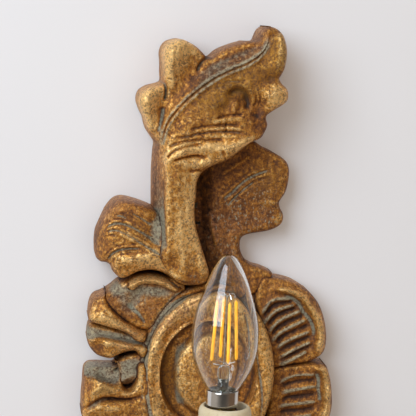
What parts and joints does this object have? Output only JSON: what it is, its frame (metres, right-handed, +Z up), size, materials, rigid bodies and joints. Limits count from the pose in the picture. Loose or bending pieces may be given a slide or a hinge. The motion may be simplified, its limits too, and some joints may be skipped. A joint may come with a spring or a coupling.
{
  "type": "wall sconce",
  "caption": "Carved giltwood wall sconce with a bent tube arm, drip pan, candle sleeve and a small screw-in candle lamp.",
  "frame": {"origin": "on the carved panel's flat back, behind the middle of the oval boss", "axes": "+Z up, +X to the right of a person facing the sconce, +Y into the wall"},
  "size_m": [0.1486, 0.121, 0.322],
  "materials": {
    "gilt_wood": "worn gold leaf over red clay on carved wood",
    "gilt_metal": "aged gilding",
    "brass": "satin",
    "steel": "zinc plated",
    "nickel": "polished nickel plate",
    "sleeve_cream": "cream, satin",
    "holder_brown": "moulded phenolic",
    "insulator_black": "vitrified",
    "circuit_board": "varnished",
    "ceramic": "unglazed",
    "clear_glass": "clear",
    "phosphor": "silicone with yellow phosphor",
    "lead_brown": "flexible sheath",
    "lead_blue": "flexible sheath"
  },
  "bodies": {
    "root": {"carved_panel": "gilt_wood", "hanger_plate": "steel", "hanger_screw_left": "steel", "hanger_screw_right": "steel", "terminal_block": "ceramic", "terminal_block_screw_upper": "brass", "terminal_block_screw_lower": "brass", "terminal_block_fixing_screw": "steel", "arm_tube": "gilt_metal", "arm_flange": "gilt_metal", "arm_collar": "gilt_metal", "arm_washer": "steel", "arm_nut": "brass", "flange_screw_1": "brass", "flange_screw_2": "brass", "flange_screw_3": "brass", "lead_live": "lead_brown", "lead_neutral": "lead_blue", "candle_cup": "gilt_metal", "drip_pan": "gilt_metal", "sleeve_socket": "gilt_metal", "tube_nut": "brass", "holder_bracket": "steel", "holder_fixing_screw": "steel", "holder_body": "holder_brown", "holder_shell": "brass", "holder_contact": "brass", "holder_terminal_screw_right": "brass", "holder_terminal_screw_left": "brass"},
    "sleeve": {"candle_sleeve": "sleeve_cream"},
    "lamp_tip": {"lamp_tip_contact": "nickel"},
    "lamp": {"lamp_insulator": "insulator_black", "lamp_cap": "nickel", "lamp_driver": "circuit_board", "lamp_glass": "clear_glass", "lamp_stem": "clear_glass", "lamp_support_wires": "nickel", "lamp_lead_wire_rear": "nickel", "lamp_lead_wire_front": "nickel", "lamp_filament_1": "phosphor", "lamp_filament_2": "phosphor", "lamp_filament_3": "phosphor", "lamp_filament_4": "phosphor"}
  },
  "joints": [
    {"name": "sleeve_lift", "type": "slide", "parent": "root", "child": "sleeve", "axis": [0.0454, 0, 0.999], "range_m": [0, 0.009]},
    {"name": "lamp_rise", "type": "slide", "parent": "root", "child": "lamp_tip", "axis": [0.0454, 0, 0.999], "range_m": [0, 0.00847]},
    {"name": "lamp_turn", "type": "hinge", "parent": "lamp_tip", "child": "lamp", "pos_m": [-0.0009, -0.09, 0], "axis": [0.0454, 0, 0.999], "range_deg": [0, 1080]}
  ],
  "couplings": [
    {"joint": "lamp_rise", "follows": "lamp_turn", "m_per_rad": 0.00044914}
  ]
}
